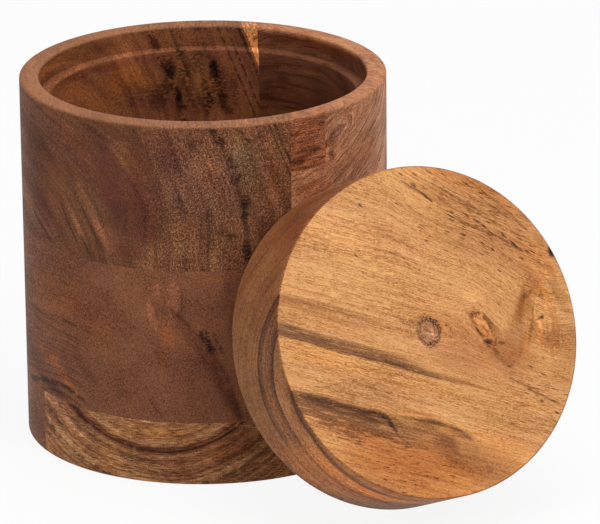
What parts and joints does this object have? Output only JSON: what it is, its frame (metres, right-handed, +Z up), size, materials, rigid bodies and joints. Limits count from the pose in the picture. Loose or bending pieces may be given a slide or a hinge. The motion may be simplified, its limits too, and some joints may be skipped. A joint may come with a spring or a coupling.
{
  "type": "wooden canister with plug lid",
  "caption": "Round turned wooden canister with a deep straight bore and a thick round plug lid, which is off and leans on its side wall.",
  "frame": {"origin": "middle of the canister's flat base, on the axis that it is turned about", "axes": "+Z up along the canister's axis; the lid leans at the front right, towards +X and -Y"},
  "size_m": [0.1775, 0.1806, 0.1215],
  "materials": {
    "upper_left_board": "oiled satin",
    "upper_right_board": "oiled satin",
    "upper_front_insert": "oiled satin",
    "middle_board": "oiled satin",
    "lower_left_board": "oiled satin",
    "lower_right_board": "oiled satin",
    "lid": "oiled satin"
  },
  "bodies": {
    "canister": {"upper_left_board": "upper_left_board", "upper_right_board": "upper_right_board", "upper_front_insert": "upper_front_insert", "middle_board": "middle_board", "lower_left_board": "lower_left_board", "lower_right_board": "lower_right_board"},
    "lid": {"lid": "lid"}
  },
  "joints": [
    {"name": "lid_swing", "type": "hinge", "parent": "canister", "child": "lid", "pos_m": [0.04312, -0.05939, 0.124], "axis": [-0.8112, -0.5777, -0.0904], "range_deg": [0, 244.46]}
  ]
}
